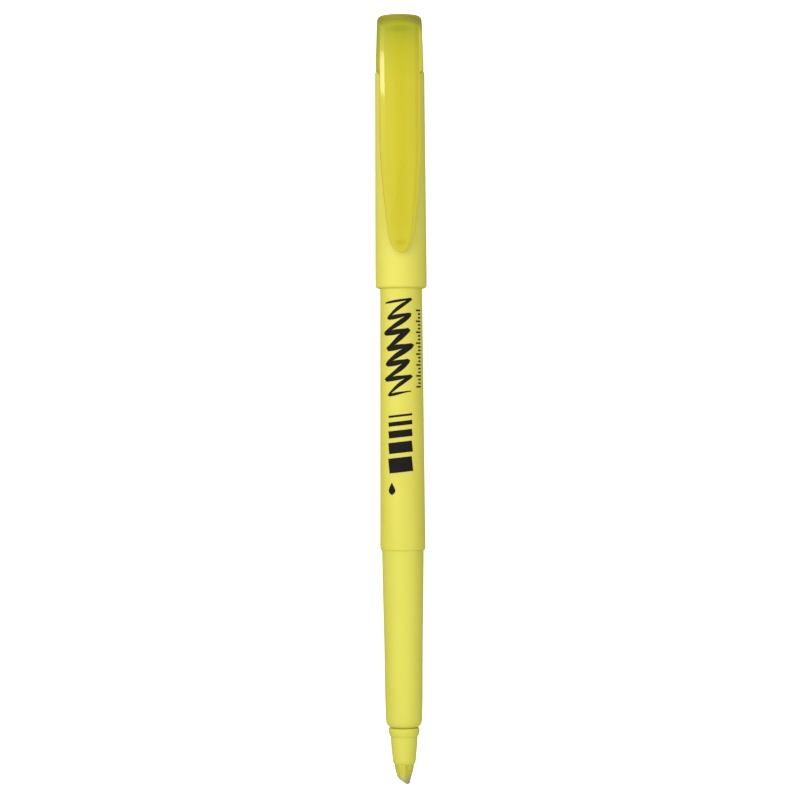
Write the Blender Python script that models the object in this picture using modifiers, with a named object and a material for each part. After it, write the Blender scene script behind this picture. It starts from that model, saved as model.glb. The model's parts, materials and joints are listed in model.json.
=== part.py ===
"""A slim chisel-tip highlighter lying on its side with the clip up. Its clip cap is pushed onto the tail.

The pen lies along Y, nib towards -Y. Sizes are in millimetres here and are scaled to metres as
meshes are made. Turned pieces of the pen are drawn in the pen frame, whose z is the distance from
the nib's tip. Turned pieces of the cap are drawn in the cap frame, whose z is the distance from the
cap's lip. In both, the clip is on the -y side.
"""

import math

import bpy
import bmesh
from mathutils import Vector

MM = 0.001
SIDES = 48

# Driving lengths along the pen, from the nib's tip
CAP_AT = 104.2
CAP_LENGTH = 56.9
OVERALL = CAP_AT + CAP_LENGTH
SHOULDER_AT = 49.0
NOSE_AT = 11.9
BARREL_END = 128.2
PLUG_END = 129.0

# Driving radii
SHOULDER_R = 4.735
LIP_OD_R = 5.39
CAP_BORE_R = 4.46
BORE_R = 3.35
SPIGOT_BORE_R = 2.62
FIT = 0.06

# The lip's lowest flat is what the pen lies on.
AXIS_HEIGHT = LIP_OD_R * math.cos(math.pi / SIDES)

# The cap's crown, in the cap frame
RIM_AT = 45.2
SEAM = 0.15
CEILING_AT = 55.0

# The clip, in the cap frame: its hinge line, its ends, and heights above the pen's axis
HINGE_AT = 49.2
HINGE_HEIGHT = 6.8
CLIP_TOP_AT = 56.3
CLIP_TIP_AT = 7.0
CLIP_HALF_WIDTH = 4.25
CLIP_TOP_HEIGHT = 7.5
CLIP_UNDER_HEIGHT = 6.15
CLIP_GAP = 0.12
TAPER_AT = 30.0

YELLOW = (0.80, 0.74, 0.09)
OLIVE = (0.55, 0.49, 0.03)
WHITE = (0.85, 0.85, 0.80)


def clear_scene():
    for obj in list(bpy.data.objects):
        bpy.data.objects.remove(obj)


def collection(name):
    made = bpy.data.collections.new(name)
    bpy.context.scene.collection.children.link(made)
    return made


def plastic(name, colour, roughness):
    made = bpy.data.materials.new(name)
    made.use_nodes = True
    shader = made.node_tree.nodes["Principled BSDF"]
    shader.inputs["Base Color"].default_value = (*colour, 1)
    shader.inputs["Roughness"].default_value = roughness
    shader.inputs["Metallic"].default_value = 0.0
    made.diffuse_color = (*colour, 1)
    return made


def empty(name, at, turn_x=0.0, parent=None):
    made = bpy.data.objects.new(name, None)
    made.location = Vector(at) * MM
    made.rotation_euler.x = turn_x
    made.parent = parent
    parts.objects.link(made)
    return made


def add_object(name, mesh, frame, look, group=None):
    made = bpy.data.objects.new(name, mesh)
    made.parent = frame
    (group or parts).objects.link(made)
    if look:
        mesh.materials.append(look)
    return made


def arc(centre, radii, start, end, steps=5):
    """Points (r, z) on an ellipse about centre, from start to end in degrees, 0 pointing outwards."""
    turns = [math.radians(start + (end - start) * i / steps) for i in range(steps + 1)]
    return [(centre[0] + radii[0] * math.cos(t), centre[1] + radii[1] * math.sin(t)) for t in turns]


def turned(name, profile, frame, look=None, loop=False, group=None):
    """A solid of revolution about the frame's z. The profile runs down its outer side.

    It ends on the axis at both ends, or with loop it closes on itself, as a tube's does.
    """
    mesh = bpy.data.meshes.new(name)
    count = len(profile)
    edges = [(i, (i + 1) % count) for i in range(count if loop else count - 1)]
    mesh.from_pydata([(r * MM, 0, z * MM) for r, z in profile], edges, [])
    made = add_object(name, mesh, frame, look, group)
    made.rotation_euler.z = math.pi / SIDES
    screw = made.modifiers.new("turn", "SCREW")
    screw.steps = screw.render_steps = SIDES
    screw.use_merge_vertices = True
    screw.merge_threshold = 1e-6
    screw.use_smooth_shade = True
    return made


def cutter(obj):
    obj.hide_render = True
    obj.display_type = "WIRE"
    return obj


def combine(obj, other, operation):
    step = obj.modifiers.new(other.name, "BOOLEAN")
    step.operation = operation
    step.solver = "EXACT"
    step.object = other


def box_cutter(name, size, middle, at, frame, turn=(0, 0, 0)):
    """A box about its own point middle, which is put at a place and then turned about that place."""
    mesh = bpy.data.meshes.new(name)
    shape = bmesh.new()
    bmesh.ops.create_cube(shape, size=1)
    bmesh.ops.scale(shape, vec=Vector(size) * MM, verts=shape.verts)
    bmesh.ops.translate(shape, vec=Vector(middle) * MM, verts=shape.verts)
    shape.to_mesh(mesh)
    shape.free()
    made = cutter(add_object(name, mesh, frame, None, cutters))
    made.location = Vector(at) * MM
    made.rotation_euler = turn
    return made


# ---------------------------------------------------------------- the pen


def make_barrel():
    """One moulding: the tapered barrel, the shoulder that stops the cap, and the slimmer grip."""
    tail_r = 4.246
    grip_r = 4.365
    outer = [(tail_r - 0.25, BARREL_END), (tail_r, BARREL_END - 0.25)]
    outer += [(4.49, 90.0), (SHOULDER_R, SHOULDER_AT + 1.0)]
    outer += arc((SHOULDER_R - 0.3, SHOULDER_AT + 0.45), (0.3, 0.45), 0, -75, 4)
    outer += [(grip_r, SHOULDER_AT - 0.3)]
    outer += [(4.21, 38.5), (4.05, 30.1), (3.96, 21.7), (3.915, 17.5)]
    outer += arc((2.80, NOSE_AT + 1.7), (1.0, 1.7), 0, -90, 6)
    inner = [(SPIGOT_BORE_R, NOSE_AT), (SPIGOT_BORE_R, 20.6), (BORE_R, 21.4)]
    inner += [(BORE_R + 0.15, BARREL_END)]
    return turned("barrel", outer + inner, pen_frame, looks["barrel"], loop=True)


def make_nib_holder():
    """The cone that shows below the grip, with the ring that the cap's liner seals on."""
    spigot_r = SPIGOT_BORE_R - FIT
    outer = [(spigot_r - 0.3, 20.2), (spigot_r, 19.7), (spigot_r, NOSE_AT - 0.1)]
    outer += [(2.60, NOSE_AT - 0.15), (2.62, 11.52)]
    outer += [(3.12, 11.46), (3.22, 11.30), (3.25, 11.05), (3.20, 10.70), (3.04, 10.20), (2.88, 9.95)]
    outer += [(2.80, 9.6), (2.71, 8.0), (2.52, 6.0), (2.40, 4.85), (2.33, 4.5), (2.15, 4.1)]
    inner = [(2.10, 4.1), (2.09, 10.6), (1.52, 11.0), (1.52, 20.2)]
    return turned("nib_holder", outer + inner, pen_frame, looks["barrel"], loop=True)


def make_nib():
    """A rod of pressed fibre, cut to a slanted chisel."""
    head_r = 2.03
    shank_r = 1.45
    profile = [(0, 28.0), (shank_r - 0.2, 28.0), (shank_r, 27.8), (shank_r, 10.9), (head_r, 10.3)]
    profile += [(head_r, 4.0), (2.0, 3.5), (1.88, 2.85), (1.12, 0), (0, 0)]
    nib = turned("nib", profile, pen_frame, looks["nib"])
    # The writing edge falls from the left corner to the tip on the right.
    slant = math.atan2(1.6, 2.2)
    edge_at = Vector((0.75, 0, 0))
    edge = box_cutter("nib_edge_cut", (8, 8, 4), (0, 0, -2), edge_at, pen_frame, (0, slant, 0))
    combine(nib, edge, "DIFFERENCE")
    # Two flats lean in to the writing edge, which stays this thick each side of the middle.
    lean = math.radians(24)
    half_edge = 0.40
    for side, name in ((-1, "front"), (1, "back")):
        flat_at = edge_at + Vector((0, side * half_edge, 0))
        middle = (0, side * 3, 0)
        flat = box_cutter(f"nib_{name}_flat_cut", (16, 6, 16), middle, flat_at, pen_frame)
        flat.rotation_mode = "XYZ"
        flat.rotation_euler = (-side * lean, slant, 0)
        combine(nib, flat, "DIFFERENCE")
    return nib


def make_reservoir():
    """The ink-soaked fibre rod, the film wrapped round it, and the tube that lets air past it."""
    start, end, radius = 23.5, 117.8, 3.0
    rod = [(0, end), (radius - 0.15, end), (radius, end - 0.15), (radius, start + 0.15)]
    rod += [(radius - 0.15, start), (1.52, start), (1.52, 28.4), (0, 28.4)]
    reservoir = turned("ink_reservoir", rod, pen_frame, looks["ink_fibre"])
    tube_r, tube_at = 0.5, 2.47
    groove = turned(
        "breather_groove_cut",
        [(0, end + 1), (tube_r + FIT, end + 1), (tube_r + FIT, start - 1), (0, start - 1)],
        pen_frame,
        group=cutters,
    )
    cutter(groove).location.y = tube_at * MM
    combine(reservoir, groove, "DIFFERENCE")
    film = [(3.2, end + 0.2), (3.2, start - 0.2), (3.06, start - 0.2), (3.06, end + 0.2)]
    turned("reservoir_wrap", film, pen_frame, looks["film"], loop=True)
    wall = [(tube_r, end), (tube_r, start), (0.3, start), (0.3, end)]
    tube = turned("breather_tube", wall, pen_frame, looks["film"], loop=True)
    tube.location.y = tube_at * MM
    tube.modifiers["turn"].steps = tube.modifiers["turn"].render_steps = SIDES // 4


def make_tail_plug():
    """Closes the barrel behind the reservoir, with a low button that shows when the cap is off."""
    skirt_r = BORE_R + 0.15 - FIT
    outer = [(0, PLUG_END)] + arc((3.7, PLUG_END - 0.3), (0.3, 0.3), 90, 0, 3)
    outer += [(4.0, BARREL_END + 0.1), (skirt_r - 0.02, BARREL_END + 0.1), (skirt_r - 0.05, 119.0)]
    outer += [(skirt_r - 0.3, 118.2)]
    inner = [(2.5, 118.2), (2.5, 127.0), (0, 127.3)]
    return turned("tail_plug", outer + inner, pen_frame, looks["barrel"])


# ---------------------------------------------------------------- the cap


def make_cap_body():
    """The opaque tube of the cap. Its rim dips in an arch under the clip."""
    outer = [(4.85, RIM_AT)] + arc((4.85, RIM_AT - 0.35), (0.34, 0.35), 60, 0, 2)
    outer += [(5.21, 39.3), (5.31, 18.3), (5.38, 3.6), (LIP_OD_R, 1.0)]
    outer += arc((LIP_OD_R - 0.7, 0.7), (0.7, 0.7), -15, -90, 5)
    inner = [(CAP_BORE_R + 0.12, 0.12), (CAP_BORE_R, 0.4), (4.40, RIM_AT)]
    body = turned("cap_body", outer + inner, cap_frame, looks["cap_body"], loop=True)
    arch_r = 5.0
    arch = turned(
        "rim_arch_cut",
        [(0, 10), (arch_r, 10), (arch_r, 0), (0, 0)],
        cap_frame,
        group=cutters,
    )
    cutter(arch).location = Vector((0, 0, RIM_AT + 1.8)) * MM
    arch.rotation_euler = (math.pi / 2, 0, 0)
    combine(body, arch, "DIFFERENCE")
    return body


def make_crown():
    """The translucent end of the cap: a plug pressed into the cap body, with the clip's root on it."""
    outer = [(0, CAP_LENGTH), (3.7, CAP_LENGTH)]
    outer += arc((3.7, CAP_LENGTH - 1.0), (1.0, 1.0), 72, 0, 4)
    outer += [(4.845, 51.9), (5.0, 47.5), (5.03, RIM_AT + SEAM), (4.34, RIM_AT + SEAM)]
    outer += [(4.34, 39.1), (4.20, 38.8), (0, 38.8)]
    crown = turned("cap_crown", outer, cap_frame, looks["crown"])
    root = clip_loft("clip_root", CLIP_TOP_AT, HINGE_AT + CLIP_GAP / 2, 10, cutters)
    cutter(root)
    combine(crown, root, "UNION")
    hollow = [(0, CEILING_AT)] + arc((3.0, CEILING_AT - 0.8), (0.8, 0.8), 90, 0, 4)
    hollow += [(3.8, 38.0), (0, 38.0)]
    hollow_cut = cutter(turned("crown_hollow_cut", hollow, cap_frame, group=cutters))
    combine(crown, hollow_cut, "DIFFERENCE")
    return crown


def make_liner():
    """The inner cup that closes round the nib holder's ring and keeps the nib from drying."""
    outer = [(0, CEILING_AT - 0.3), (2.2, CEILING_AT - 0.3), (2.4, CEILING_AT - 0.5)]
    outer += [(2.4, 52.6), (3.72, 49.2), (3.72, 37.8), (3.62, 37.6)]
    inner = [(3.40, 37.6), (3.28, 37.9), (3.28, 48.9), (1.9, 52.4), (1.9, 53.6), (0, 53.6)]
    return turned("cap_liner", outer + inner, cap_frame, looks["liner"])


def rounded_off(into, radius):
    """How far an edge of this radius has fallen back, into millimetres past where it starts."""
    into = min(max(into, 0.0), radius)
    return radius - math.sqrt(radius**2 - into**2)


def clip_half_width(at):
    """Half the clip's width at a distance from the lip: even, then tapering to an oval tip."""
    taper = 0.0191 * max(0.0, TAPER_AT - at) ** 1.5
    tip_length = 5.0
    into_tip = min(1.0, max(0.0, (CLIP_TIP_AT + tip_length - at) / tip_length))
    corner_r = 1.1
    corner = rounded_off(at - (CLIP_TOP_AT - corner_r), corner_r)
    return (CLIP_HALF_WIDTH - taper) * (1 - into_tip**2.4) ** (1 / 2.4) - corner


def end_drop(at):
    """How far the clip's top falls at its upper end: a rounded edge, then a steep straight face."""
    edge_r, steep = 1.0, math.radians(60)
    into = max(0.0, at - (CLIP_TOP_AT - 1.9))
    if into < edge_r * math.sin(steep):
        return rounded_off(into, edge_r)
    return edge_r * (1 - math.cos(steep)) + (into - edge_r * math.sin(steep)) * math.tan(steep)


def clip_heights(at):
    """The clip's underside and top over the pen's axis, with a root fillet and a foot at the tip."""
    slope = max(0.0, (HINGE_AT - at) / (HINGE_AT - CLIP_TIP_AT))
    top = CLIP_TOP_HEIGHT - 0.5 * slope**2 - end_drop(at)
    foot_at, foot_reach, foot_drop = CLIP_TIP_AT + 2.2, 1.9, 0.66
    in_foot = min(1.0, abs(at - foot_at) / foot_reach)
    fillet_r = 0.9
    under = CLIP_UNDER_HEIGHT - foot_drop * math.cos(in_foot * math.pi / 2) ** 2
    under -= rounded_off(at - (HINGE_AT - fillet_r), fillet_r)
    return under, top


def clip_section(at, in_root):
    """Half of the clip's section, (x, height) from the middle of the top to that of the underside."""
    width = max(clip_half_width(at), 0.35)
    under, top = clip_heights(at)
    crowned_r = 22.0
    edge_r = min(0.70, 0.45 * width, 0.50 * (top - under))
    reach = width - edge_r
    drop = crowned_r - math.sqrt(crowned_r**2 - reach**2)
    points = []
    for i in range(4):
        x = reach * i / 4
        points.append((x, top - crowned_r + math.sqrt(crowned_r**2 - x**2)))
    points += arc((reach, top - drop - edge_r), (edge_r, edge_r), 90, 0, 4)
    if in_root:
        return points + [(width, 1.9), (0, 1.9)]
    under_r = 0.25
    points += arc((width - under_r, under + under_r), (under_r, under_r), 0, -90, 2)
    return points + [(0, under)]


def end_bow(x, at):
    """How far the clip's end falls back towards its corners, as seen from above."""
    return x**2 / 13.8 * min(1.0, max(0.0, (at - 52.5) / (CLIP_TOP_AT - 52.5)))


def clip_loft(name, start, end, count, group=None, look=None):
    """The clip from one distance above the lip down to another, as a loft of its sections."""
    in_root = start > HINGE_AT
    mesh = bpy.data.meshes.new(name)
    shape = bmesh.new()
    rings = []
    for i in range(count + 1):
        # Sections crowd towards the rounded end of each stretch.
        part = i / count
        part = 1 - math.cos(part * math.pi / 2) if in_root else math.sin(part * math.pi / 2)
        at = start + (end - start) * part
        half = clip_section(at, in_root)
        whole = half + [(-x, h) for x, h in reversed(half[1:-1])]
        rings.append(
            [
                shape.verts.new(Vector((x, at - end_bow(x, at) - HINGE_AT, h - HINGE_HEIGHT)) * MM)
                for x, h in whole
            ]
        )
    for above, below in zip(rings, rings[1:]):
        for i in range(len(above)):
            j = (i + 1) % len(above)
            shape.faces.new((above[i], above[j], below[j], below[i]))
    shape.faces.new(rings[0])
    shape.faces.new(rings[-1])
    bmesh.ops.recalc_face_normals(shape, faces=shape.faces)
    shape.to_mesh(mesh)
    shape.free()
    mesh.shade_smooth()
    mesh.set_sharp_from_angle(angle=math.radians(35))
    return add_object(name, mesh, clip_hinge, look, group)


def make_clip():
    """The clip's springy arm, from its hinge line at the root to the foot at its tip."""
    return clip_loft("clip", HINGE_AT - CLIP_GAP / 2, CLIP_TIP_AT, 30, look=looks["crown"])


clear_scene()
parts = collection("chisel_tip_highlighter")
cutters = collection("cutters")
looks = {
    "barrel": plastic("barrel_plastic", YELLOW, 0.32),
    "cap_body": plastic("cap_body_plastic", YELLOW, 0.30),
    "crown": plastic("crown_plastic", OLIVE, 0.22),
    "liner": plastic("liner_plastic", WHITE, 0.40),
    "nib": plastic("nib_fibre", (0.70, 0.66, 0.10), 0.85),
    "ink_fibre": plastic("ink_fibre", (0.75, 0.80, 0.05), 0.90),
    "film": plastic("clear_film", WHITE, 0.20),
}
pen_frame = empty("pen_frame", (0, -OVERALL / 2, AXIS_HEIGHT), -math.pi / 2)
cap_frame = empty("cap_frame", (0, CAP_AT - OVERALL / 2, AXIS_HEIGHT), -math.pi / 2)
clip_hinge = empty(
    "clip_hinge", (0, CAP_AT + HINGE_AT - OVERALL / 2, AXIS_HEIGHT + HINGE_HEIGHT)
)
make_barrel()
make_nib_holder()
make_nib()
make_reservoir()
make_tail_plug()
make_cap_body()
make_crown()
make_liner()
make_clip()
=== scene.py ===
"""The looks of a slim chisel-tip highlighter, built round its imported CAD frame.

Profiles are in millimetres. Those of the pen are measured from the nib's tip, and those of the cap
from its lip. Points are (radius, distance). The pen lies along Y with its clip up.
"""

import json
import math

import bmesh
import bpy
import numpy as np
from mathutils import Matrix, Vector, noise


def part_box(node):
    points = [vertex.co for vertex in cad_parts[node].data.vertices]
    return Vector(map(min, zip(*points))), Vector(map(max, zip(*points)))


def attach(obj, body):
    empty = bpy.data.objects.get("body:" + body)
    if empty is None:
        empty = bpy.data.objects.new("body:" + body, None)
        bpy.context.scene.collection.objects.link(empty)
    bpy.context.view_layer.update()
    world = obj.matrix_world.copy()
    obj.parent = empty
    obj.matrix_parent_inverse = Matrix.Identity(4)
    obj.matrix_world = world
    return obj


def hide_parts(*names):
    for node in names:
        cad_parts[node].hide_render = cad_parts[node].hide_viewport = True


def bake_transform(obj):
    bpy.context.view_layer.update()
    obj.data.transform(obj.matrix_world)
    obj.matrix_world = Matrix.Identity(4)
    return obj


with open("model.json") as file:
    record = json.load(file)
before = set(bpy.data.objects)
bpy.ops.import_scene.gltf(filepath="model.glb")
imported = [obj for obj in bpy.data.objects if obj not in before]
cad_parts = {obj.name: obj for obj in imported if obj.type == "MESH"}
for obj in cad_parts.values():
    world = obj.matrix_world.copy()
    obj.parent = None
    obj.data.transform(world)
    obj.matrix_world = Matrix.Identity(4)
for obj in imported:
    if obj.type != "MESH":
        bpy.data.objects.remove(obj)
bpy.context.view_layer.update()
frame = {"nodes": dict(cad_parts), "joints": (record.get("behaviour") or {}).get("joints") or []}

MM = 0.001
SIDES = 160

NIB_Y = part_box("nib")[0].y
LIP_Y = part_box("cap_body")[0].y
AXIS_Z = (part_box("barrel")[0].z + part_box("barrel")[1].z) / 2
HINGE = next(Vector(j["pos_m"]) for j in frame["joints"] if j["name"] == "clip_flex")

# Shape of the moulded parts, as in the CAD
SHOULDER_AT = 49.0
NOSE_AT = 11.9
BARREL_END = (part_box("barrel")[1].y - NIB_Y) / MM
PLUG_END = (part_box("tail_plug")[1].y - NIB_Y) / MM
RIM_AT = 45.2
CROWN_START = 38.8
CAP_LENGTH = (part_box("cap_crown")[1].y - LIP_Y) / MM
CEILING_AT = 55.0
HINGE_AT = (HINGE.y - LIP_Y) / MM
CLIP_TIP_AT = (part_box("clip")[0].y - LIP_Y) / MM
CLIP_TOP_AT = 56.3
CLIP_HALF_WIDTH = 4.25
CLIP_TIP_LENGTH = 5.0
CLIP_TIP_ROUNDNESS = 2.4  # 2 would be an ellipse, and more is squarer

# The chisel: the plane of its slanted writing edge, and the two flats that lean towards it
EDGE_FROM_X = 0.45
EDGE_SLANT = math.radians(35)
EDGE_HALF_THICK = 0.40
FLAT_LEAN = math.radians(24)
EDGE_ROUND = 0.10


# ---------------------------------------------------------------- mesh building


def add_mesh(name, points, faces):
    """A linked mesh object from points in metres, with its faces turned outwards."""
    mesh = bpy.data.meshes.new(name)
    mesh.from_pydata([tuple(p) for p in points], [], faces)
    shape = bmesh.new()
    shape.from_mesh(mesh)
    bmesh.ops.recalc_face_normals(shape, faces=shape.faces)
    shape.to_mesh(mesh)
    shape.free()
    made = bpy.data.objects.new(name, mesh)
    bpy.context.scene.collection.objects.link(made)
    return made


def smooth(obj, angle=38):
    """Smooth shading, except across edges sharper than this angle in degrees."""
    obj.data.shade_smooth()
    obj.data.set_sharp_from_angle(angle=math.radians(angle))
    return obj


def arc(centre, radii, start, end, steps=10):
    """Points on an ellipse about centre, from start to end in degrees, 0 pointing outwards."""
    turns = [math.radians(start + (end - start) * i / steps) for i in range(steps + 1)]
    return [(centre[0] + radii[0] * math.cos(t), centre[1] + radii[1] * math.sin(t)) for t in turns]


def eased(points, per_span=6):
    """A Catmull-Rom curve through the points, so that a profile bends without corners."""
    padded = [points[0], *points, points[-1]]
    curve = []
    for a, b, c, d in zip(padded, padded[1:], padded[2:], padded[3:]):
        for i in range(per_span):
            t = i / per_span
            curve.append(
                tuple(
                    0.5 * (2 * q + (r - p) * t + (2 * p - 5 * q + 4 * r - s) * t**2)
                    + 0.5 * (3 * q - p - 3 * r + s) * t**3
                    for p, q, r, s in zip(a, b, c, d)
                )
            )
    return [*curve, points[-1]]


def lathe(name, outline, base_y, loop=False, sides=SIDES, shift=None):
    """Turns an outline about the pen's axis. shift(x, r, z) moves a point along the axis."""
    points, rings, faces = [], [], []
    for r, z in outline:
        if r < 1e-6:
            rings.append([len(points)] * sides)
            points.append((0, base_y + z * MM, AXIS_Z))
            continue
        rings.append(list(range(len(points), len(points) + sides)))
        for i in range(sides):
            turn = 2 * math.pi * i / sides
            x, up = r * math.sin(turn), r * math.cos(turn)
            along = z + (shift(x, up, z) if shift else 0)
            points.append((x * MM, base_y + along * MM, AXIS_Z + up * MM))
    pairs = list(zip(rings, rings[1:])) + ([(rings[-1], rings[0])] if loop else [])
    for above, below in pairs:
        for i in range(sides):
            j = (i + 1) % sides
            corners = [above[i], above[j], below[j], below[i]]
            corners = list(dict.fromkeys(corners))
            if len(corners) > 2:
                faces.append(corners)
    return add_mesh(name, points, faces)


def apply_boolean(obj, other, operation):
    """Combines obj with another object for good, and removes the other."""
    step = obj.modifiers.new("cut", "BOOLEAN")
    step.operation = operation
    step.solver = "EXACT"
    step.object = other
    bpy.context.view_layer.update()
    done = bpy.data.meshes.new_from_object(obj.evaluated_get(bpy.context.evaluated_depsgraph_get()))
    obj.modifiers.clear()
    obj.data = done
    bpy.data.objects.remove(other)


# ---------------------------------------------------------------- materials


class Look:
    """A Principled material and short ways to feed its sockets from places, in metres.

    A place is an object coordinate unless the material sets where to another one.
    """

    def __init__(self, name, **sockets):
        self.material = bpy.data.materials.new(name)
        self.material.use_nodes = True
        self.tree = self.material.node_tree
        self.shader = self.tree.nodes["Principled BSDF"]
        coordinates = self.tree.nodes.new("ShaderNodeTexCoord")
        self.where, self.face = coordinates.outputs["Object"], coordinates.outputs["Normal"]
        for socket, value in sockets.items():
            self.shader.inputs[socket.replace("_", " ")].default_value = value

    def node(self, kind, **inputs):
        made = self.tree.nodes.new(kind)
        for socket, value in inputs.items():
            place = made.inputs[socket.replace("_", " ")]
            if isinstance(value, bpy.types.NodeSocket):
                self.tree.links.new(value, place)
            else:
                place.default_value = value
        return made

    def feed(self, socket, value):
        self.tree.links.new(value, self.shader.inputs[socket])

    def noise(self, scale, stretch=(1, 1, 1), detail=3.0, distortion=0.0):
        """Noise of so many features a metre, stretched along the axes."""
        place = self.node("ShaderNodeMapping", Vector=self.where, Scale=stretch)
        made = self.node("ShaderNodeTexNoise", Vector=place.outputs[0], Scale=scale, Detail=detail)
        made.inputs["Distortion"].default_value = distortion
        return made.outputs["Fac"]

    def ranged(self, value, low, high, out_low, out_high):
        made = self.node("ShaderNodeMapRange", Value=value)
        made.interpolation_type = "SMOOTHSTEP"
        for socket, number in zip(
            ("From Min", "From Max", "To Min", "To Max"), (low, high, out_low, out_high)
        ):
            made.inputs[socket].default_value = number
        return made.outputs[0]

    def along(self, axis):
        """The object coordinate along x, y or z."""
        return self.node("ShaderNodeSeparateXYZ", Vector=self.where).outputs[axis.upper()]

    def facing(self, axis):
        """How far the surface faces x, y or z, from -1 to 1."""
        return self.node("ShaderNodeSeparateXYZ", Vector=self.face).outputs[axis.upper()]

    def times(self, first, second):
        made = self.tree.nodes.new("ShaderNodeMath")
        made.operation = "MULTIPLY"
        self.tree.links.new(first, made.inputs[0])
        self.tree.links.new(second, made.inputs[1])
        return made.outputs[0]

    def spot(self, centre, radii, soft=0.5):
        """1 inside an ellipsoid, falling to 0 over a soft edge."""
        scale = tuple(1 / r for r in radii)
        start = tuple(-c * k for c, k in zip(centre, scale))
        place = self.node("ShaderNodeMapping", Vector=self.where, Scale=scale, Location=start)
        length = self.tree.nodes.new("ShaderNodeVectorMath")
        length.operation = "LENGTH"
        self.tree.links.new(place.outputs[0], length.inputs[0])
        return self.ranged(length.outputs["Value"], 1 - soft, 1 + soft, 1, 0)

    def ramp(self, value, low, high, stops):
        """A run of colours over a range, from stops of (distance from its low end, colour)."""
        part = self.node("ShaderNodeMapRange", Value=value)
        part.inputs["From Min"].default_value = low
        part.inputs["From Max"].default_value = high
        made = self.node("ShaderNodeValToRGB", Fac=part.outputs[0])
        marks = made.color_ramp.elements
        while len(marks) < len(stops):
            marks.new(0.5)
        for mark, (place, colour) in zip(marks, stops):
            mark.position = place / (high - low)
            mark.color = (*colour, 1)
        return made.outputs["Color"]

    def blend(self, amount, first, second, mode="MIX"):
        made = self.tree.nodes.new("ShaderNodeMix")
        made.data_type = "RGBA"
        made.blend_type = mode
        for place, value in ((0, amount), (6, first), (7, second)):
            if isinstance(value, bpy.types.NodeSocket):
                self.tree.links.new(value, made.inputs[place])
            elif place:
                made.inputs[place].default_value = (*value, 1)
            else:
                made.inputs[place].default_value = value
        return made.outputs[2]

    def bump(self, height, distance, strength=1.0, under=None):
        made = self.node("ShaderNodeBump", Height=height, Distance=distance, Strength=strength)
        if under:
            self.tree.links.new(under, made.inputs["Normal"])
        return made.outputs[0]


def scaled(colour, by):
    """The colour, lighter or darker, and never over 1."""
    return tuple(min(1.0, c * by) for c in colour)


def moulded_plastic(name, colour, roughness, stops=None, **sockets):
    """Moulded polypropylene: faint flow lines, a fine skin, and a few scuffs from handling.

    With stops, the colour changes along the piece, in distances from the nib's tip.
    """
    look = Look(name, **sockets)
    flow = look.noise(90, (1, 0.25, 1), 2.0, 0.4)
    fine = look.noise(2600, detail=2.0)
    scuffs = look.noise(420, (1, 0.12, 1), 4.0, 1.2)
    tint = look.blend(look.ranged(flow, 0.3, 0.7, 0, 1), scaled(colour, 0.97), scaled(colour, 1.03))
    if stops:
        shift = look.ramp(look.along("y"), NIB_Y, NIB_Y + BARREL_END * MM, stops)
        tint = look.blend(1.0, tint, shift, "MULTIPLY")
    look.feed("Base Color", tint)
    look.feed("Roughness", look.ranged(scuffs, 0.45, 0.75, roughness, roughness + 0.10))
    skin = look.bump(fine, 0.000006, 0.35)
    look.feed("Normal", look.bump(flow, 0.00004, 0.25, under=skin))
    return look.material


YELLOW = (0.745, 0.690, 0.092)
YELLOW_SKIN = {
    "Subsurface_Weight": 0.25,
    "Subsurface_Radius": (1.0, 0.9, 0.25),
    "Subsurface_Scale": 0.0006,
    "IOR": 1.46,
}


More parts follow.
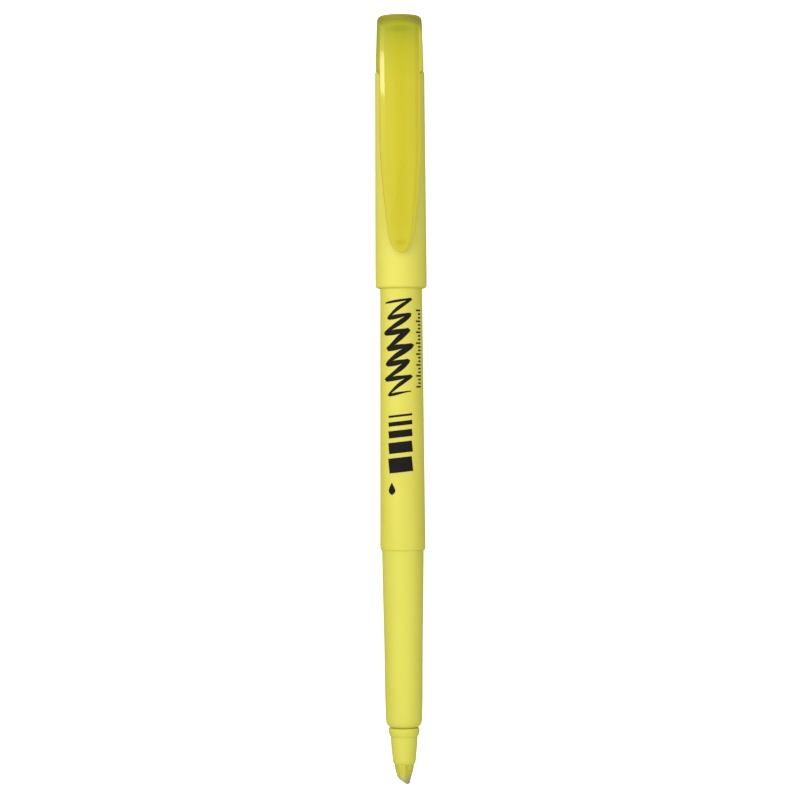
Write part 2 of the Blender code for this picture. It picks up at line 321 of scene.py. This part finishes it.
def crown_plastic():
    """Translucent polypropylene, with painted light and shade: paler along the clip and deeper over
    the crown.

    It reads each point's place at rest, so that its tones stay put on the clip when that bends.
    """
    look = Look(
        "crown_plastic",
        IOR=1.49,
        Specular_IOR_Level=0.18,
        Coat_Weight=0.3,
        Coat_Roughness=0.04,
        Subsurface_Weight=0.15,
        Subsurface_Radius=(1.0, 0.9, 0.15),
        Subsurface_Scale=0.0006,
    )
    rest = look.node("ShaderNodeAttribute")
    rest.attribute_name = "rest_place"
    look.where = rest.outputs["Vector"]
    flow = look.noise(120, (1, 0.2, 1), 2.0, 0.5)
    fine = look.noise(2600, detail=2.0)
    # Painted light and shade along the cap: paler where the clip lies over the cap body, deeper
    # over the thick crown.
    length = look.ramp(
        look.along("y"),
        LIP_Y,
        LIP_Y + CAP_LENGTH * MM,
        [
            (0.0, (0.645, 0.580, 0.025)),
            (13.0 * MM, (0.585, 0.516, 0.008)),
            (42.7 * MM, (0.580, 0.510, 0.008)),
            (47.7 * MM, (0.520, 0.480, 0.005)),
            (51.0 * MM, (0.462, 0.430, 0.002)),
            (53.3 * MM, (0.375, 0.380, 0.0)),
            (54.9 * MM, (0.375, 0.380, 0.0)),
            (55.5 * MM, (0.320, 0.305, 0.0)),
        ],
    )
    # Painted shade: a dark oval near the clip's upper end, and a dark patch over its foot.
    deep = look.spot((0, LIP_Y + 53.35 * MM, AXIS_Z + 7.3 * MM), (2.6 * MM, 0.6 * MM, 1 * MM), 0.4)
    foot = look.spot((0, LIP_Y + 9.0 * MM, AXIS_Z + 6.5 * MM), (1.1 * MM, 0.6 * MM, 2 * MM), 0.6)
    tint = look.blend(deep, length, (0.335, 0.350, 0.0))
    tint = look.blend(foot, tint, (0.55, 0.47, 0.008))
    # Painted shade on the steep end, and painted light on the right side, where light comes out
    # through the plastic
    painted_end_shade, painted_side_light = (0.42, 0.41, 0.0), (0.98, 0.88, 0.070)
    tint = look.blend(look.ranged(look.facing("y"), 0.30, 0.75, 0, 1), tint, painted_end_shade)
    lit_side_mask = look.ranged(look.facing("x"), 0.40, 0.90, 0, 0.9)
    below = look.ranged(look.along("y"), LIP_Y + 52.5 * MM, LIP_Y + 55.0 * MM, 1, 0.1)
    tint = look.blend(look.times(lit_side_mask, below), tint, painted_side_light)
    tint = look.blend(
        look.ranged(flow, 0.3, 0.7, 0, 1),
        look.blend(1.0, tint, (0.96, 0.96, 0.96), "MULTIPLY"),
        look.blend(1.0, tint, (1.03, 1.03, 1.03), "MULTIPLY"),
    )
    look.feed("Base Color", tint)
    look.feed("Roughness", look.ranged(flow, 0.3, 0.8, 0.24, 0.34))
    look.feed("Normal", look.bump(fine, 0.000005, 0.3))
    return look.material


def nib_fibre():
    """Pressed polyester fibre, wet with ink: streaks along the rod and a darker writing edge."""
    look = Look("nib_fibre", Subsurface_Weight=0.25, Subsurface_Scale=0.0006, IOR=1.40)
    look.shader.inputs["Subsurface Radius"].default_value = (1.0, 0.9, 0.2)
    strands = look.noise(5200, (1, 0.05, 1), 4.0, 0.6)
    clumps = look.noise(900, (1, 0.15, 1), 3.0, 0.3)
    pale, deep = (0.67, 0.665, 0.075), (0.50, 0.48, 0.050)
    streaks = look.blend(look.ranged(strands, 0.35, 0.65, 0, 1), deep, pale)
    patches = look.blend(look.ranged(clumps, 0.3, 0.7, 0, 0.45), streaks, scaled(pale, 0.85))
    edge = look.ranged(look.along("y"), NIB_Y + 0.0001, NIB_Y + 0.0024, 0.9, 0)
    look.feed("Base Color", look.blend(edge, patches, (0.40, 0.385, 0.19)))
    look.feed("Roughness", look.ranged(strands, 0.3, 0.7, 0.62, 0.88))
    look.feed("Normal", look.bump(strands, 0.00005, 0.9))
    return look.material


def ink_fibre():
    """Bonded fibre soaked with ink, with strands along the rod."""
    look = Look("ink_fibre", Roughness=0.9)
    strands = look.noise(4200, (1, 0.03, 1), 4.0, 0.4)
    look.feed("Base Color", look.blend(strands, (0.62, 0.66, 0.03), (0.85, 0.90, 0.10)))
    look.feed("Normal", look.bump(strands, 0.00005, 0.8))
    return look.material


def liner_plastic():
    """Natural polyethylene, waxy and a little stained by the ink."""
    look = Look("liner_plastic", Subsurface_Weight=0.5, Subsurface_Scale=0.001, IOR=1.51)
    stain = look.noise(260, (1, 0.5, 1), 3.0, 0.8)
    look.feed("Base Color", look.blend(stain, (0.86, 0.86, 0.78), (0.84, 0.82, 0.50)))
    look.feed("Roughness", look.ranged(stain, 0.3, 0.7, 0.35, 0.5))
    look.feed("Normal", look.bump(look.noise(1800), 0.00001, 0.4))
    return look.material


def clear_film():
    """Thin polypropylene film with creases along it."""
    look = Look("clear_film", IOR=1.49)
    creases = look.noise(300, (1, 0.1, 1), 4.0, 1.0)
    look.feed("Base Color", look.blend(creases, (0.80, 0.82, 0.62), (0.86, 0.87, 0.72)))
    look.feed("Roughness", look.ranged(creases, 0.3, 0.7, 0.12, 0.3))
    look.feed("Normal", look.bump(creases, 0.00003, 0.6))
    return look.material


def printing_ink():
    """Black pad-printed ink, a little thinner in places, where the yellow warms it."""
    look = Look("printing_ink", IOR=1.45, Specular_IOR_Level=0.15)
    pores = look.noise(3800, detail=4.0)
    wear = look.noise(700, (1, 0.6, 1), 4.0, 0.5)
    thick, thin, bare = (0.004, 0.003, 0.005), (0.010, 0.008, 0.008), (0.06, 0.055, 0.015)
    body = look.blend(look.ranged(wear, 0.3, 0.75, 0, 1), thick, thin)
    look.feed("Base Color", look.blend(look.ranged(pores, 0.68, 0.76, 0, 0.4), body, bare))
    look.feed("Roughness", look.ranged(wear, 0.3, 0.7, 0.5, 0.65))
    look.feed("Normal", look.bump(pores, 0.000008, 0.6))
    return look.material


# ---------------------------------------------------------------- pieces


def finish_piece(obj, slot, material, *nodes):
    """Gives a piece its material, and hides the CAD nodes that it replaces."""
    obj.data.materials.clear()
    obj.data.materials.append(material)
    if nodes:
        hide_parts(*nodes)
    return obj


def keep_rest_place(obj):
    """Stores where each point is at rest, so that a material stays put on a piece that bends."""
    places = obj.data.attributes.new("rest_place", "FLOAT_VECTOR", "POINT")
    places.data.foreach_set("vector", [c for v in obj.data.vertices for c in v.co])


def barrel_radius(at):
    """The tapered barrel's outer radius at a distance from the nib's tip."""
    return float(np.interp(at, (SHOULDER_AT + 1.0, 90.0, BARREL_END), (4.735, 4.49, 4.246)))


def make_barrel():
    """The barrel with its grip. Returns its material, which the other yellow mouldings share."""
    grip = [(4.365, SHOULDER_AT - 0.35), (4.21, 38.5), (4.05, 30.1), (3.96, 21.7), (3.915, 17.5)]
    outer = arc((3.996, BARREL_END - 0.25), (0.25, 0.25), 90, 0, 6)
    outer += [(barrel_radius(at), at) for at in np.linspace(BARREL_END - 3, SHOULDER_AT + 1.0, 30)]
    outer += arc((4.735 - 0.22, SHOULDER_AT + 0.45), (0.22, 0.40), 0, -80, 8)
    outer += arc((4.365 + 0.14, SHOULDER_AT - 0.10), (0.14, 0.16), 100, 180, 5)
    outer += eased([*grip, (3.80, NOSE_AT + 1.7)])
    outer += arc((2.80, NOSE_AT + 1.7), (1.0, 1.7), -4, -90, 16)
    inner = [(2.66, NOSE_AT), (2.62, NOSE_AT + 0.05), (2.62, 20.6), (3.35, 21.4), (3.5, BARREL_END)]
    obj = smooth(lathe("barrel_shell", outer + inner, NIB_Y, loop=True))
    stops = [
        (0.0, (0.95, 0.99, 0.84)),
        (11.2 * MM, (0.955, 0.995, 0.88)),
        (13.0 * MM, (0.965, 1.0, 0.92)),
        (48.0 * MM, (0.97, 1.0, 0.92)),
        (52.0 * MM, (0.995, 1.0, 0.92)),
    ]
    look = moulded_plastic("barrel_plastic", scaled(YELLOW, 0.975), 0.45, stops, **YELLOW_SKIN)
    finish_piece(obj, "barrel_plastic", look, "barrel")
    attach(obj, "pen")
    return look


def make_nib_holder(look):
    """The cone below the grip and the ring that the cap's liner seals on."""
    ring = [(2.60, 11.74), (2.72, 11.73), (3.05, 11.70), (3.19, 11.60), (3.24, 11.42)]
    ring += [(3.25, 11.10), (3.20, 10.70), (3.12, 10.45), (3.04, 10.20), (2.90, 9.97), (2.82, 9.86)]
    cone = [(2.80, 9.6), (2.71, 8.0), (2.52, 6.0), (2.40, 4.85), (2.33, 4.50)]
    cone += [(2.24, 4.26), (2.15, 4.12), (2.13, 4.10)]
    outer = [(2.26, 20.2), (2.56, 19.7), (2.56, NOSE_AT - 0.1), (2.60, NOSE_AT - 0.15)]
    outer += eased(ring, 4) + eased(cone, 4)
    inner = [(2.10, 4.10), (2.09, 4.16), (2.09, 10.6), (1.52, 11.0), (1.52, 20.2)]
    obj = smooth(lathe("holder_cone", outer + inner, NIB_Y, loop=True), 50)
    finish_piece(obj, "barrel_plastic", look, "nib_holder")
    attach(obj, "pen")


def nib_surface(x, height, at):
    """How far a point of the rod is inside each plane that cuts the nib, in millimetres."""
    past_edge = math.sin(EDGE_SLANT) * (x - EDGE_FROM_X) + math.cos(EDGE_SLANT) * at
    past_flat = (EDGE_HALF_THICK - abs(height)) * math.cos(FLAT_LEAN)
    return past_edge, past_flat + past_edge * math.sin(FLAT_LEAN)


def make_nib():
    """The rod, pressed in towards the planes of its chisel, with loose fibres raised a little."""
    end_r = 1.12
    rod = [(2.05, 10.3), (2.05, 6.0), (2.05, 4.4), (2.02, 3.7), (1.88, 2.85), (1.50, 1.5)]
    outer = [(0, 28.0), (1.25, 28.0), (1.45, 27.8), (1.45, 10.9)]
    outer += eased([*rod, (end_r, 0)], 14)
    outer += [(end_r * (1 - i / 12), 0) for i in range(1, 13)]
    obj = lathe("nib_chisel", outer, NIB_Y, sides=220)
    for vertex in obj.data.vertices:
        x, at, height = vertex.co.x / MM, (vertex.co.y - NIB_Y) / MM, (vertex.co.z - AXIS_Z) / MM
        if at > 10:
            continue
        past_edge, _ = nib_surface(x, height, at)
        if past_edge < EDGE_ROUND:
            push = EDGE_ROUND * math.exp(past_edge / EDGE_ROUND - 1) - past_edge
            x += push * math.sin(EDGE_SLANT)
            at += push * math.cos(EDGE_SLANT)
        _, past_flat = nib_surface(x, height, at)
        if past_flat < 0:
            height += math.copysign(past_flat / math.cos(FLAT_LEAN), height)
        grain = noise.noise(Vector((x * 9, at * 0.7, height * 9)))
        swell = 0.022 * grain * min(1.0, max(0.0, (4.4 - at) / 0.6))
        wide = (1 + swell / 2) * MM
        vertex.co = Vector((x * wide, NIB_Y + at * MM, AXIS_Z + height * wide))
    smooth(obj, 40)
    finish_piece(obj, "nib_fibre", nib_fibre(), "nib")
    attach(obj, "pen")


def make_tail_plug(look):
    """The plug that closes the barrel's tail, with the mark of its moulding gate."""
    outer = [(0, PLUG_END - 0.12)] + arc((0.75, PLUG_END - 0.02), (0.35, 0.14), 200, 90, 5)
    outer += arc((3.7, PLUG_END - 0.3), (0.3, 0.3), 90, 0, 6)
    outer += [(4.0, BARREL_END + 0.1), (3.42, BARREL_END + 0.08), (3.40, 119.0), (3.15, 118.2)]
    inner = [(2.5, 118.2), (2.5, 127.0), (0, 127.3)]
    obj = smooth(lathe("tail_button", outer + inner, NIB_Y))
    finish_piece(obj, "barrel_plastic", look, "tail_plug")
    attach(obj, "pen")


def rim_dip(x, height, at):
    """How far the cap body's rim falls in its arch under the clip."""
    if height <= 0:
        return 0.0
    arch_r, arch_up, corner = 5.0, 1.8, 0.12
    inside = arch_r**2 - x**2
    depth = math.sqrt(inside) - arch_up if inside > arch_up**2 else -0.35
    depth = corner * math.log1p(math.exp(min(depth / corner, 60.0)))
    reach = min(1.0, max(0.0, (at - (RIM_AT - 9.0)) / 8.4))
    return -depth * reach


def cap_radius(at):
    """The cap body's outer radius at a distance from its lip."""
    return float(np.interp(at, (3.6, 18.3, 39.3, RIM_AT), (5.38, 5.31, 5.21, 5.19)))


def make_cap_body():
    """The cap's opaque tube, from its rounded lip to the rim with its arch."""
    outer = arc((4.42 + 0.08, RIM_AT - 0.10), (0.10, 0.10), 150, 90, 3)
    outer += arc((4.85, RIM_AT - 0.35), (0.34, 0.35), 90, 0, 8)
    outer += [(cap_radius(at), at) for at in np.linspace(RIM_AT - 0.5, 0.9, 90)]
    outer += arc((5.39 - 0.62, 0.36), (0.62, 0.66), 0, -84, 12)
    inner = arc((4.46 + 0.14, -0.14), (0.14, 0.14), -100, -180, 5)
    inner += [(4.455, 0.5), (4.45, 20.0)]
    inner += [(4.45 - 0.05 * i / 12, 20 + (RIM_AT - 20.2) * i / 12) for i in range(1, 13)]
    obj = smooth(lathe("cap_tube", outer + inner, LIP_Y, loop=True, sides=240, shift=rim_dip), 45)
    look = moulded_plastic("cap_body_plastic", YELLOW, 0.45, **YELLOW_SKIN)
    finish_piece(obj, "cap_body_plastic", look, "cap_body")
    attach(obj, "cap")


def crown_outline():
    """The crown's outside, from its flat end down to the skirt inside the cap body."""
    outer = arc((3.7, CAP_LENGTH - 1.0), (1.0, 1.0), 90, 4, 14)
    outer += eased([(4.70, 55.85), (4.78, 54.0), (4.845, 51.9), (5.0, 47.5), (5.02, 46.2)], 5)
    outer += arc((4.88, RIM_AT + 0.29), (0.14, 0.14), 0, -90, 5)
    outer += [(4.34, RIM_AT + 0.15), (4.34, 39.1), (4.20, CROWN_START)]
    return outer


def crown_dip(x, height, at):
    """How far the crown's lower edge falls to fill the arch."""
    fade = (at - 39.5) / (RIM_AT - 39.5) if at < RIM_AT else (52 - at) / (52 - RIM_AT - 0.5)
    return rim_dip(x, height, RIM_AT) * min(1.0, max(0.0, fade))


def make_crown(look):
    """The translucent end of the cap, hollow for the liner."""
    hollow = [(3.8, CROWN_START), (3.8, 54.2)] + arc((3.0, CEILING_AT - 0.8), (0.8, 0.8), 0, 90, 10)
    outline = [(0, CAP_LENGTH), (1.8, CAP_LENGTH), *crown_outline(), *hollow, (0, CEILING_AT)]
    obj = smooth(lathe("crown_plug", outline, LIP_Y, sides=240, shift=crown_dip), 45)
    keep_rest_place(obj)
    finish_piece(obj, "crown_plastic", look, "cap_crown")
    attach(obj, "cap")


def make_liner():
    """The inner cup that closes round the nib."""
    outer = [(0, CEILING_AT - 0.3)] + arc((2.15, CEILING_AT - 0.55), (0.25, 0.25), 90, 0, 6)
    outer += [(2.4, 52.6)] + arc((3.42, 48.9), (0.3, 0.3), 45, 0, 5) + [(3.72, 37.8), (3.62, 37.6)]
    inner = [(3.40, 37.6), (3.28, 37.9), (3.28, 48.9), (1.9, 52.4), (1.9, 53.6), (0, 53.6)]
    obj = smooth(lathe("liner_cup", outer + inner, LIP_Y))
    finish_piece(obj, "liner_plastic", liner_plastic(), "cap_liner")
    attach(obj, "cap")


# ---------------------------------------------------------------- the clip


def rounded_off(into, radius):
    """How far an edge of this radius has fallen back, into millimetres past where it starts."""
    into = min(max(into, 0.0), radius)
    return radius - math.sqrt(radius**2 - into**2)


def clip_half_width(at):
    """Half the clip's width, which narrows to a rounded tip."""
    taper = 0.0191 * max(0.0, 30.0 - at) ** 1.5
    into_tip = min(1.0, max(0.0, (CLIP_TIP_AT + CLIP_TIP_LENGTH - at) / CLIP_TIP_LENGTH))
    tip = (1 - into_tip**CLIP_TIP_ROUNDNESS) ** (1 / CLIP_TIP_ROUNDNESS)
    corner_r = 1.1
    corner = rounded_off(at - (CLIP_TOP_AT - corner_r), corner_r)
    return (CLIP_HALF_WIDTH - taper) * tip - corner


def end_drop(at):
    """How far the clip's top falls at its upper end: a rounded edge, then a steep straight face."""
    edge_r, steep = 1.0, math.radians(60)
    into = max(0.0, at - (CLIP_TOP_AT - 1.9))
    if into < edge_r * math.sin(steep):
        return rounded_off(into, edge_r)
    return edge_r * (1 - math.cos(steep)) + (into - edge_r * math.sin(steep)) * math.tan(steep)


def clip_heights(at):
    """The clip's underside and top over the pen's axis, with a root fillet and a foot."""
    slope = max(0.0, (HINGE_AT - at) / (HINGE_AT - CLIP_TIP_AT))
    top = 7.5 - 0.5 * slope**2 - end_drop(at)
    in_foot = min(1.0, abs(at - (CLIP_TIP_AT + 2.2)) / 1.9)
    under = 6.15 - 0.66 * math.cos(in_foot * math.pi / 2) ** 2
    under -= rounded_off(at - (HINGE_AT - 0.9), 0.9)
    return under, top


def clip_section(at):
    """Half of the clip's section as (x, height), from the middle of its top to its underside."""
    width = max(clip_half_width(at), 0.12)
    under, top = clip_heights(at)
    if at > HINGE_AT:
        under = 1.9
    crowned_r, bevel = 22.0, math.radians(25)
    size = min(1.0, width / CLIP_HALF_WIDTH)
    edge_r = 0.48 * size
    reach = width - 1.12 * size
    points = []
    for i in range(9):
        x = reach * i / 8
        points.append((x, top - crowned_r + math.sqrt(crowned_r**2 - x**2)))
    # A knee, a bevel that catches the light, and the rounded edge
    outer = width - edge_r * (1 - math.sin(bevel))
    for i in range(1, 9):
        x = reach + (outer - reach) * i / 8
        slope = bevel if i > 2 else bevel * (0.3 + 0.27 * i)
        points.append((x, points[-1][1] - (x - points[-1][0]) * math.tan(slope)))
    edge_top = points.pop()[1] - edge_r * math.cos(bevel)
    points += arc((width - edge_r, edge_top), (edge_r, edge_r), 65, 0, 7)
    under_r = min(0.25, 0.3 * width)
    under = min(under, edge_top - under_r)
    points += arc((width - under_r, under + under_r), (under_r, under_r), 0, -90, 5)
    return points + [((width - under_r) * i / 4, under) for i in (3, 2, 1, 0)]


def end_bow(x, at):
    """How far the clip's end falls back towards its corners, as seen from above."""
    end_r, bow_from = 6.9, 52.5
    return x**2 / (2 * end_r) * min(1.0, max(0.0, (at - bow_from) / (CLIP_TOP_AT - bow_from)))


def clip_stations():
    """Distances from the lip at which the clip has a section, closer where it bends."""
    turns = [math.pi / 2 * i / 22 for i in range(1, 23)]
    tip = [CLIP_TIP_AT + CLIP_TIP_LENGTH * (1 - math.cos(turn)) for turn in turns]
    arm = list(np.linspace(CLIP_TIP_AT + 5.2, HINGE_AT - 1.2, 60))
    bend = list(np.linspace(HINGE_AT - 1.1, HINGE_AT, 12))
    root = [HINGE_AT + 0.002, *np.linspace(HINGE_AT + 0.4, CLIP_TOP_AT - 2.0, 10)]
    end = list(np.linspace(CLIP_TOP_AT - 1.92, CLIP_TOP_AT, 22))
    return [*tip, *arm, *bend, *root, *end]


def make_clip(look):
    """The clip with its root, which is fitted to the outside of the crown. It bends at the root."""
    points, faces, rings = [], [], []
    for at in clip_stations():
        half = clip_section(at)
        whole = half + [(-x, h) for x, h in reversed(half[1:-1])]
        rings.append(range(len(points), len(points) + len(whole)))
        points += [(x * MM, LIP_Y + (at - end_bow(x, at)) * MM, AXIS_Z + h * MM) for x, h in whole]
    for near, far in zip(rings, rings[1:]):
        count = len(near)
        faces += [
            (near[i], near[(i + 1) % count], far[(i + 1) % count], far[i]) for i in range(count)
        ]
    faces += [tuple(rings[0]), tuple(rings[-1])]
    obj = add_mesh("clip_spring", points, faces)
    crown = [(0, CAP_LENGTH + 1), (0.5, CAP_LENGTH + 1)]
    crown += [(r + 0.02, z + 0.02) for r, z in crown_outline() if z > RIM_AT]
    crown += [(5.0, RIM_AT), (0, RIM_AT)]
    apply_boolean(obj, lathe("crown_space", crown, LIP_Y), "DIFFERENCE")
    smooth(obj, 40)
    keep_rest_place(obj)
    finish_piece(obj, "crown_plastic", look, "clip")
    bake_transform(obj)


# ---------------------------------------------------------------- printing on the barrel


def on_barrel(around, at, lift):
    """A point on the barrel, so far round from the top line and so far from the nib's tip."""
    r = barrel_radius(at) + lift
    turn = around / barrel_radius(at)
    return (r * math.sin(turn) * MM, NIB_Y + at * MM, AXIS_Z + r * math.cos(turn) * MM)


class Printing:
    """Shapes of ink, each a thin closed film that follows the barrel."""

    def __init__(self):
        self.points, self.faces = [], []

    def stroke(self, route, widths, across=6):
        """A film along a route of (around, at) points, with half its width at each."""
        rows = []
        for i, (here, half) in enumerate(zip(route, widths)):
            before, after = route[max(i - 1, 0)], route[min(i + 1, len(route) - 1)]
            run = Vector((after[0] - before[0], after[1] - before[1])).normalized()
            side = Vector((-run.y, run.x))
            rows.append(
                [Vector(here) + side * half * (2 * k / across - 1) for k in range(across + 1)]
            )
        base = len(self.points)
        count = across + 1
        for lift in (0.022, -0.01):
            self.points += [on_barrel(p.x, p.y, lift) for row in rows for p in row]
        under = len(rows) * count
        for i in range(len(rows) - 1):
            for k in range(across):
                a, b = base + i * count + k, base + (i + 1) * count + k
                self.faces.append((a, a + 1, b + 1, b))
                self.faces.append((a + under, b + under, b + 1 + under, a + 1 + under))
        edge = [i * count for i in range(len(rows))]
        edge += [(len(rows) - 1) * count + k for k in range(1, count)]
        edge += [i * count + across for i in reversed(range(len(rows) - 1))]
        edge += [k for k in reversed(range(1, across))]
        for p, q in zip(edge, edge[1:] + edge[:1]):
            self.faces.append((base + p, base + q, base + q + under, base + p + under))

    def object(self, name):
        return add_mesh(name, self.points, self.faces)


def swelling(count, half, ends=0.15):
    """Half widths of a stroke that swells from its ends, like a felt pen's."""
    rises = [math.sin(math.pi * (i + 0.5) / count) ** 0.5 for i in range(count)]
    return [half * (ends + (1 - ends) * rise) for rise in rises]


def make_printing():
    """Generic marks that hold no letters: a scribble, a scale of ticks, sample lines, a drop."""
    ink = Printing()
    turns, steps = 13, 14
    # The scribble: slanted strokes back and forth, down the barrel.
    route = []
    for i in range(turns * steps + 1):
        t = i / steps
        sweep = math.asin(math.sin(math.pi * (t - 0.5)) * 0.985) / (math.pi / 2)
        reach = 3.0 + 0.55 * math.sin(1.9 * t + 0.6)
        route.append((-0.75 + reach * sweep, 102.0 - 20.9 * t / turns + 1.35 * sweep))
    widths = [
        h * (0.75 + 0.45 * math.sin(math.pi * (i / steps) + 0.4) ** 2)
        for i, h in enumerate(swelling(len(route), 0.50, 0.2))
    ]
    ink.stroke(route, widths)
    # The scale of ticks, every third one long.
    for i in range(22):
        at = 99.2 - 0.76 * i
        start = 3.35 if i % 3 == 0 else 3.95
        ink.stroke([(start + (4.85 - start) * k / 6, at) for k in range(7)], [0.17] * 7, 3)
    # Sample lines, from a fine one to the full width of the chisel.
    at = 77.2
    for thick in (0.45, 0.9, 1.5, 2.3, 3.1):
        at -= thick / 2
        route = [(-3.0 + 5.2 * k / 16, at + 0.55 * k / 16) for k in range(17)]
        ink.stroke(route, [thick / 2] * 17, 8)
        at -= thick / 2 + 0.95
    # The drop of ink: round below and drawn out to a point.
    route = [(-2.3, 63.4 - 2.7 * k / 20) for k in range(21)]
    drop = [0.78 * math.sin(math.pi * (k / 20) ** 1.7) ** 0.8 + 0.01 for k in range(21)]
    ink.stroke(route, drop, 8)
    obj = smooth(ink.object("barrel_printing"), 50)
    obj.data.materials.append(printing_ink())
    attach(obj, "pen")


def dress_cad_nodes():
    """Hidden CAD pieces stay as they are, with their own materials."""
    for node, material in (
        ("ink_reservoir", ink_fibre()),
        ("reservoir_wrap", clear_film()),
        ("breather_tube", liner_plastic()),
    ):
        obj = frame["nodes"][node]
        obj.data.materials.clear()
        obj.data.materials.append(material)


# ---------------------------------------------------------------- studio


def camera_ray_switch(tree, seen, unseen):
    """A shader that the camera sees as one thing and that lights as another, for the set."""
    path = tree.nodes.new("ShaderNodeLightPath")
    mix = tree.nodes.new("ShaderNodeMixShader")
    tree.links.new(path.outputs["Is Camera Ray"], mix.inputs[0])
    tree.links.new(unseen, mix.inputs[1])
    tree.links.new(seen, mix.inputs[2])
    return mix.outputs[0]


def make_floor():
    """A plain pale floor, which throws less light on the pen than the camera sees."""
    mesh = bpy.data.meshes.new("floor")
    shape = bmesh.new()
    bmesh.ops.create_grid(shape, x_segments=1, y_segments=1, size=6)
    shape.to_mesh(mesh)
    shape.free()
    floor = bpy.data.objects.new("floor", mesh)
    bpy.context.scene.collection.objects.link(floor)
    material = bpy.data.materials.new("floor_white")
    material.use_nodes = True
    tree = material.node_tree
    shader = tree.nodes["Principled BSDF"]
    shader.inputs["Base Color"].default_value = (0.9, 0.9, 0.9, 1)
    shader.inputs["Roughness"].default_value = 0.9
    shader.inputs["Emission Color"].default_value = (1, 1, 1, 1)
    shader.inputs["Emission Strength"].default_value = 0.70
    dim = tree.nodes.new("ShaderNodeBsdfDiffuse")
    dim.inputs["Color"].default_value = (0.30, 0.30, 0.30, 1)
    surface = camera_ray_switch(tree, shader.outputs[0], dim.outputs[0])
    tree.links.new(surface, tree.nodes["Material Output"].inputs["Surface"])
    mesh.materials.append(material)


def make_world():
    """A soft sky that is brightest overhead. The camera sees plain white."""
    world = bpy.data.worlds.new("studio")
    bpy.context.scene.world = world
    world.use_nodes = True
    tree = world.node_tree
    fill = tree.nodes["Background"]
    fill.inputs["Color"].default_value = (1, 1, 1, 1)
    towards = tree.nodes.new("ShaderNodeTexCoord").outputs["Generated"]
    along = tree.nodes.new("ShaderNodeVectorMath")
    along.operation = "DOT_PRODUCT"
    tree.links.new(towards, along.inputs[0])
    along.inputs[1].default_value = Vector((-0.02, -0.12, 0.98)).normalized()
    level = tree.nodes.new("ShaderNodeMapRange")
    tree.links.new(along.outputs["Value"], level.inputs["Value"])
    lowest, highest = 0.44, 0.86
    for socket, number in (("From Min", -0.3), ("To Min", lowest), ("To Max", highest)):
        level.inputs[socket].default_value = number
    tree.links.new(level.outputs[0], fill.inputs["Strength"])
    backdrop = tree.nodes.new("ShaderNodeBackground")
    backdrop.inputs["Color"].default_value = (1, 1, 1, 1)
    backdrop.inputs["Strength"].default_value = 1.0
    surface = camera_ray_switch(tree, backdrop.outputs[0], fill.outputs[0])
    tree.links.new(surface, tree.nodes["World Output"].inputs["Surface"])


def softbox(name, at, target, size, power):
    """A rectangular light that faces a target. Its power is in watts."""
    light = bpy.data.lights.new(name, "AREA")
    light.shape = "RECTANGLE"
    light.size, light.size_y = size
    light.energy = power
    made = bpy.data.objects.new(name, light)
    made.location = at
    made.rotation_euler = (Vector(target) - Vector(at)).to_track_quat("-Z", "Y").to_euler()
    bpy.context.scene.collection.objects.link(made)
    return made


def make_camera():
    """Straight above the pen, whose crown leans a little to the left in the picture."""
    distance, seen = 0.600, 0.168
    lean = math.radians(0.389)
    camera = bpy.data.cameras.new("camera")
    camera.sensor_width = 36
    camera.lens = 36 * distance / seen
    camera.clip_start = 0.01
    made = bpy.data.objects.new("camera", camera)
    made.location = (-0.00039, -0.00005, AXIS_Z + distance)
    made.rotation_euler = (0, 0, -lean)
    bpy.context.scene.collection.objects.link(made)
    bpy.context.scene.camera = made


bpy.context.scene.view_settings.view_transform = "Standard"
make_camera()
barrel_look = make_barrel()
make_nib_holder(barrel_look)
make_nib()
make_tail_plug(barrel_look)
make_cap_body()
crown_look = crown_plastic()
make_crown(crown_look)
make_clip(crown_look)
make_liner()
make_printing()
dress_cad_nodes()
make_floor()
make_world()
box_size, box_side, box_y, box_up = (0.60, 0.80), 0.43, -0.05, 0.74
softbox("key", (-box_side, box_y, box_up), (0, 0, 0), box_size, 1.50)
softbox("fill", (box_side, box_y, box_up), (0, 0, 0), box_size, 1.00)
# A thin strip straight across the pen draws the highlight along the clip's left bevel.
strip_y = 0.1004
softbox("strip", (-0.23, strip_y, 0.205), (-0.0035, strip_y, 0.0127), (0.015, 0.25), 0.24)
